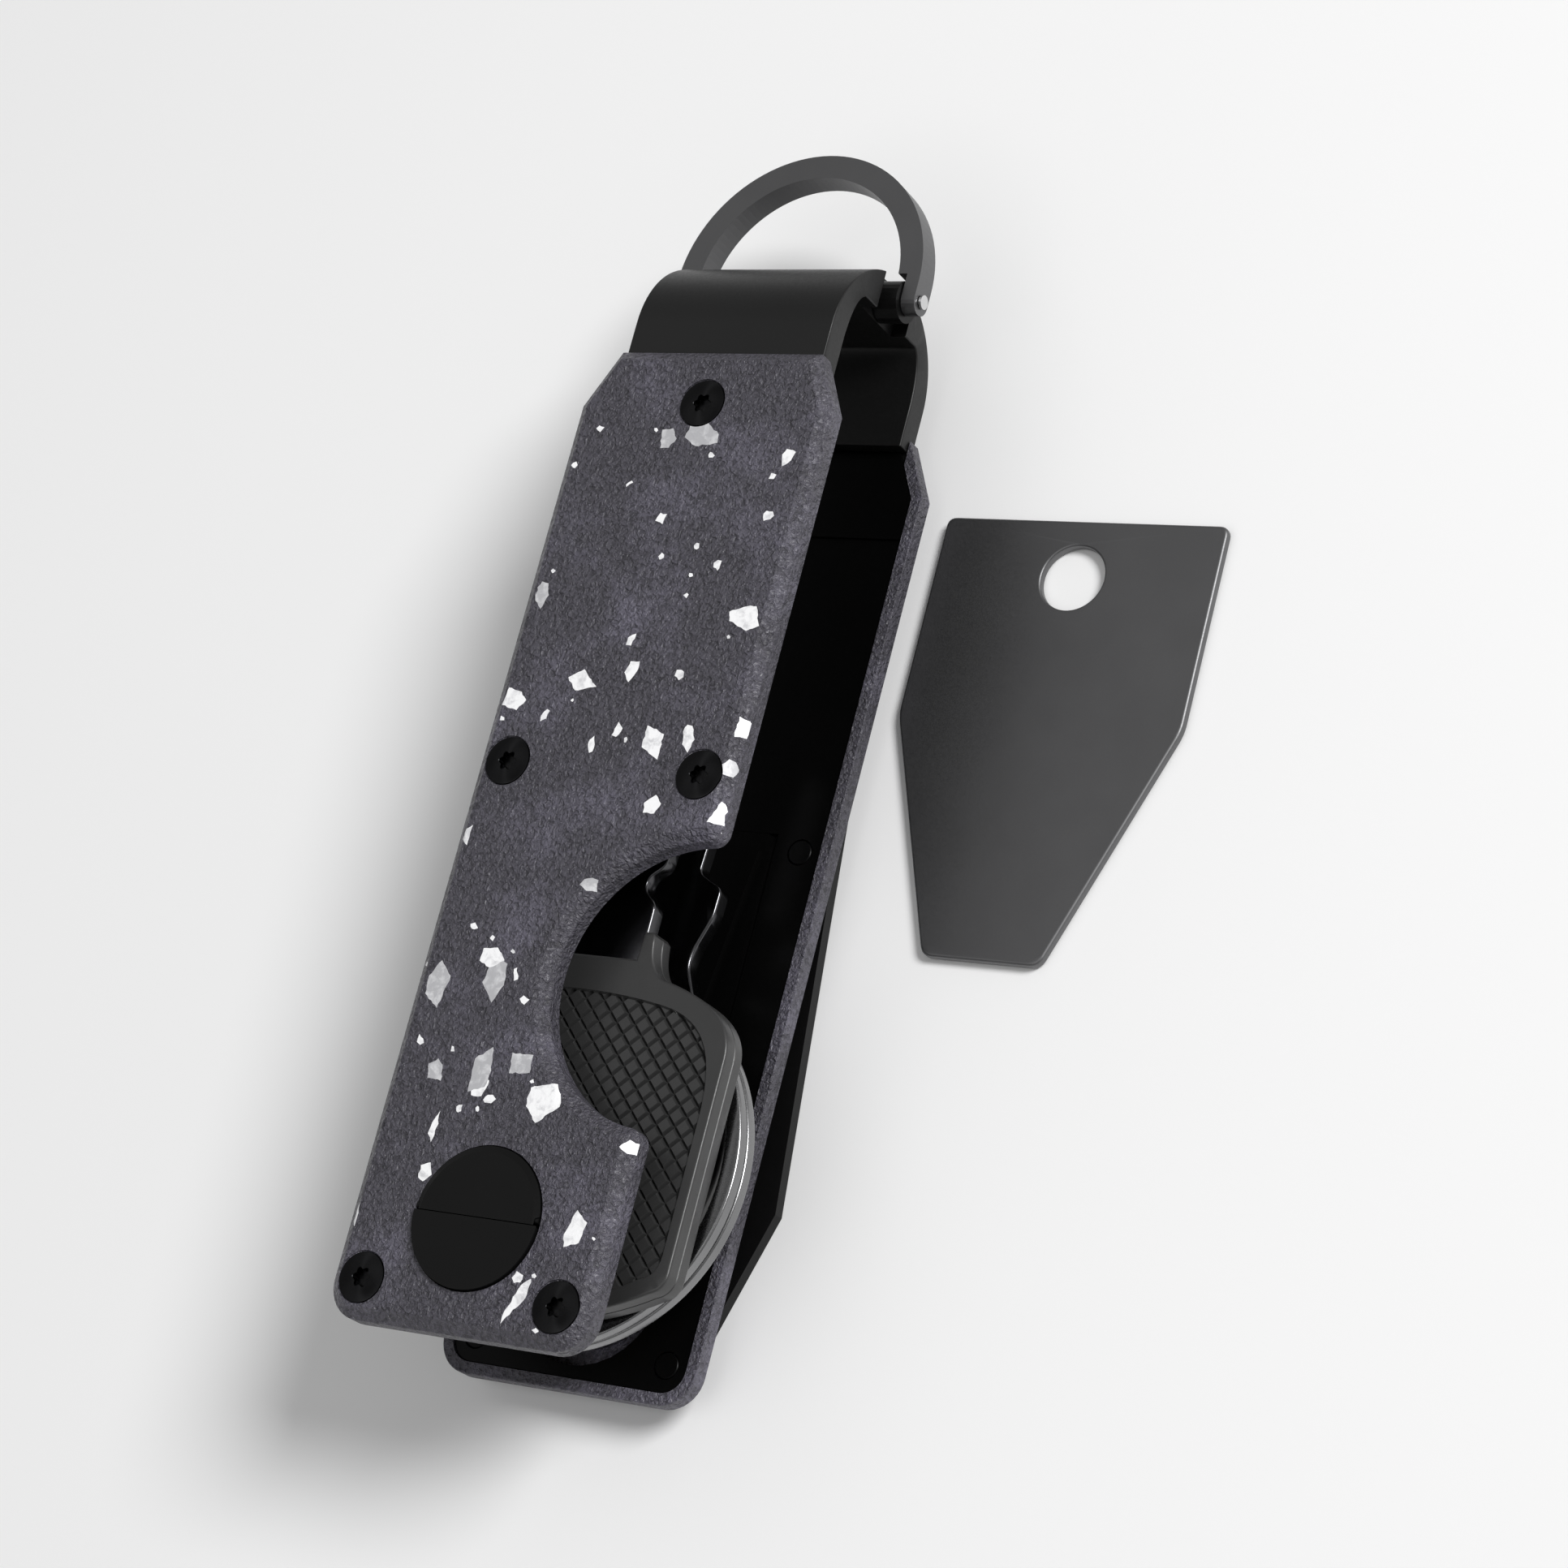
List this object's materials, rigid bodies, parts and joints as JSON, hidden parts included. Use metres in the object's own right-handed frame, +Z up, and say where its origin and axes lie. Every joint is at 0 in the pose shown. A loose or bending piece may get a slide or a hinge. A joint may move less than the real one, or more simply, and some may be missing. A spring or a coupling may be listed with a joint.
{
  "type": "key organiser",
  "caption": "Pocket key organiser: two bevelled stone-pattern scales hold swing-out keys on a thumb-screw post, with a moulded strap, swinging shackle, pocket clip and a loose metal tag.",
  "frame": {"origin": "point on the pocket clip's outer face under the post's axis, with the organiser lying on its clip", "axes": "+Z up through the thickness, out of the front scale; +Y along the scales towards the shackle; +X towards the thumb cut-out's side"},
  "size_m": [0.049, 0.0959, 0.0195],
  "materials": {
    "scale": "matt stone-pattern composite with pale chips",
    "liner": "matt black",
    "strap": "satin black moulding",
    "black_steel": "black coated steel",
    "gunmetal": "gunmetal grey, satin",
    "bright_steel": "bright steel",
    "key_steel": "nickel-plated, brushed",
    "key_bow": "moulded, with a diamond grip",
    "bronze": "turned bronze"
  },
  "bodies": {
    "back": {"rear_scale": "scale", "rear_liner": "liner", "rear_pad": "liner", "pad_tongue": "black_steel", "strap_loop": "strap", "shackle_pin": "bright_steel", "left_bush": "black_steel", "right_bush": "black_steel", "post": "black_steel", "rear_spacer": "bronze", "middle_spacer": "bronze", "front_spacer": "bronze", "pocket_clip": "black_steel", "clip_screw_1": "black_steel", "clip_screw_2": "black_steel", "rear_screw_1": "black_steel", "rear_screw_2": "black_steel", "rear_screw_3": "black_steel", "rear_screw_4": "black_steel", "rear_screw_5": "black_steel"},
    "front": {"front_scale": "scale", "front_liner": "liner", "front_screw_1": "black_steel", "front_screw_2": "black_steel", "front_screw_3": "black_steel", "front_screw_4": "black_steel", "front_screw_5": "black_steel"},
    "thumb": {"thumb_screw": "black_steel", "wing_pin": "bright_steel"},
    "wing": {"thumb_wing": "black_steel"},
    "key_a": {"key_a_bow": "key_bow", "key_a_blade": "key_steel"},
    "key_b": {"key_b_bow": "key_bow", "key_b_blade": "key_steel"},
    "ring": {"split_ring": "gunmetal"},
    "shackle_bail": {"shackle": "gunmetal"},
    "loose_tag": {"tag": "gunmetal"}
  },
  "joints": [
    {"name": "front_open", "type": "hinge", "parent": "back", "child": "front", "pos_m": [0, 0.0756, 0.0105], "axis": [-1, 0, 0], "range_deg": [0, 9], "deforming": ["strap_loop"]},
    {"name": "thumb_turn", "type": "hinge", "parent": "front", "child": "thumb", "pos_m": [0, 0, 0.0192], "axis": [0, 0, 1], "continuous": true},
    {"name": "wing_flip", "type": "hinge", "parent": "thumb", "child": "wing", "pos_m": [0, 0.0004, 0.01915], "axis": [1, 0, 0], "range_deg": [0, 90]},
    {"name": "key_a_swing", "type": "hinge", "parent": "back", "child": "key_a", "pos_m": [0, 0, 0.0137], "axis": [0, 0, 1], "continuous": true},
    {"name": "key_b_swing", "type": "hinge", "parent": "back", "child": "key_b", "pos_m": [0, 0, 0.0082], "axis": [0, 0, 1], "continuous": true},
    {"name": "ring_swing", "type": "hinge", "parent": "back", "child": "ring", "pos_m": [0, 0, 0.01095], "axis": [0, 0, 1], "continuous": true},
    {"name": "shackle_swing", "type": "hinge", "parent": "back", "child": "shackle_bail", "pos_m": [0, 0.0756, 0.0105], "axis": [1, 0, 0], "range_deg": [-45, 45]},
    {"name": "tag_lift", "type": "slide", "parent": "back", "child": "loose_tag", "axis": [0, 0, 1], "range_m": [0, 0.03]}
  ]
}
